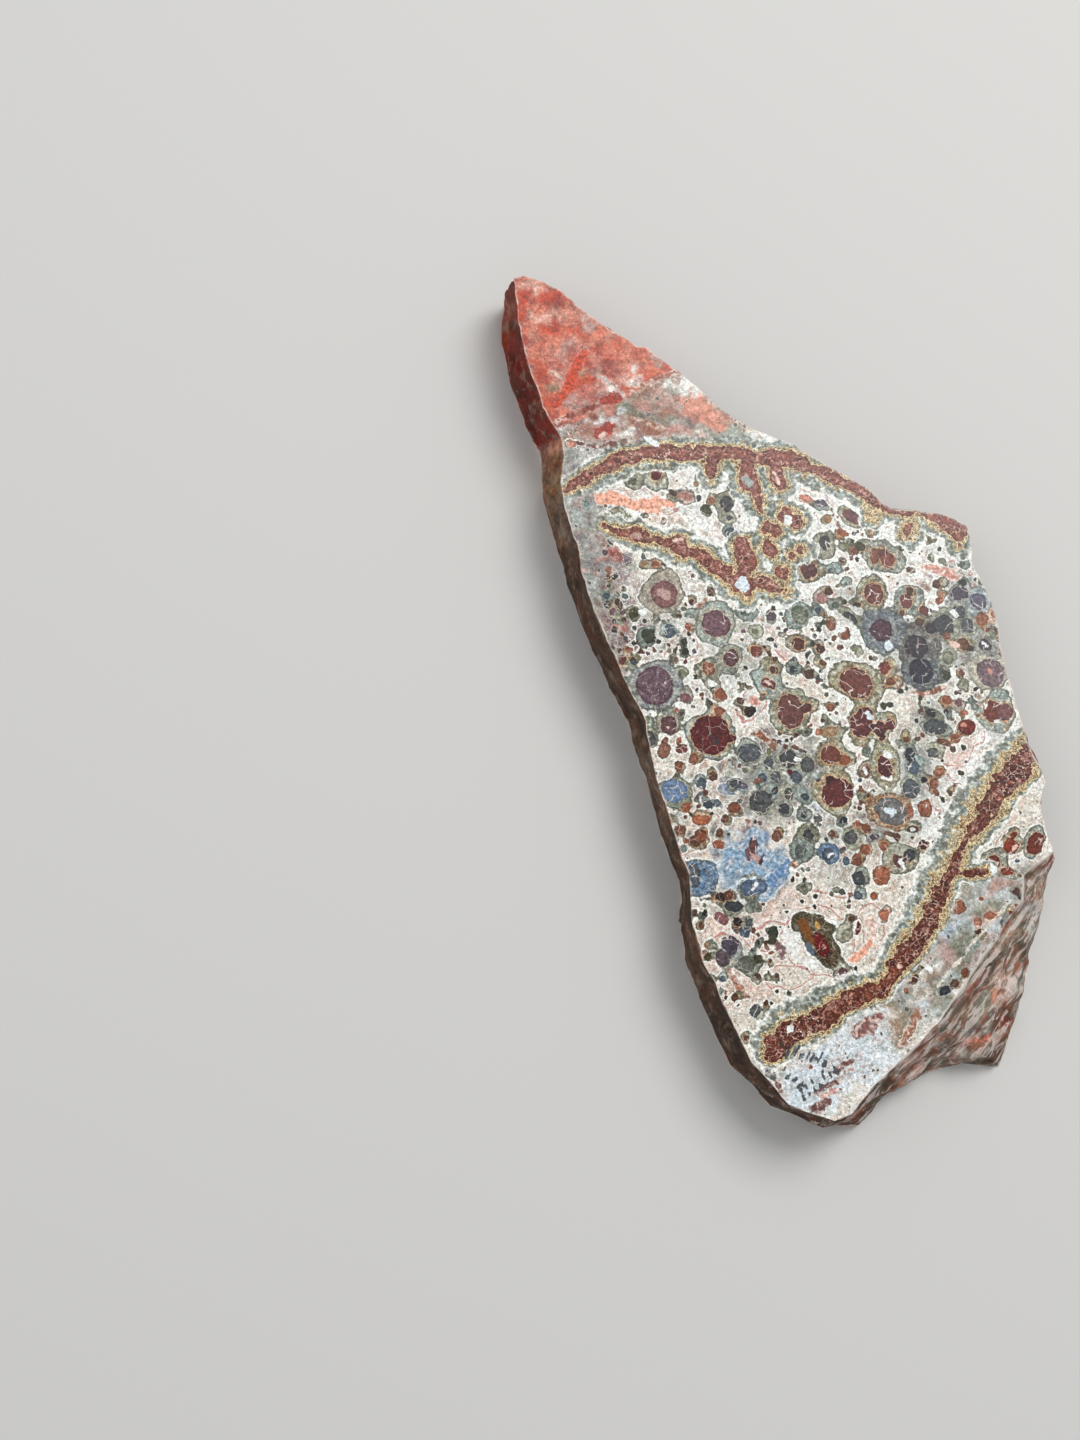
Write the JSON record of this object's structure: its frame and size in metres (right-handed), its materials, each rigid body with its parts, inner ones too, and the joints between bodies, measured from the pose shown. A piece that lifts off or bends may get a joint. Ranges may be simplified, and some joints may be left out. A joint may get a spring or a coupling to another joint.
{
  "type": "leopard skin rhyolite slab",
  "caption": "Sawn slice of spotted orbicular rhyolite with two flat cut faces, a pointed red end, broken sides and one sloping break, for display or for cutting into cabochons.",
  "frame": {"origin": "middle of the slab's bounding box, on the plane of the sawn back that it rests on", "axes": "+Z out of the patterned sawn face, +Y along the slab towards the pointed red end, +X across it towards the sloping break"},
  "size_m": [0.0812, 0.1252, 0.01],
  "materials": {
    "stone": "sawn faces with a light wet shine, orbs of maroon, brown, grey and blue on a whitish ground, and dull weathered broken sides"
  },
  "bodies": {
    "root": {"rhyolite_slab": "stone"}
  },
  "joints": []
}
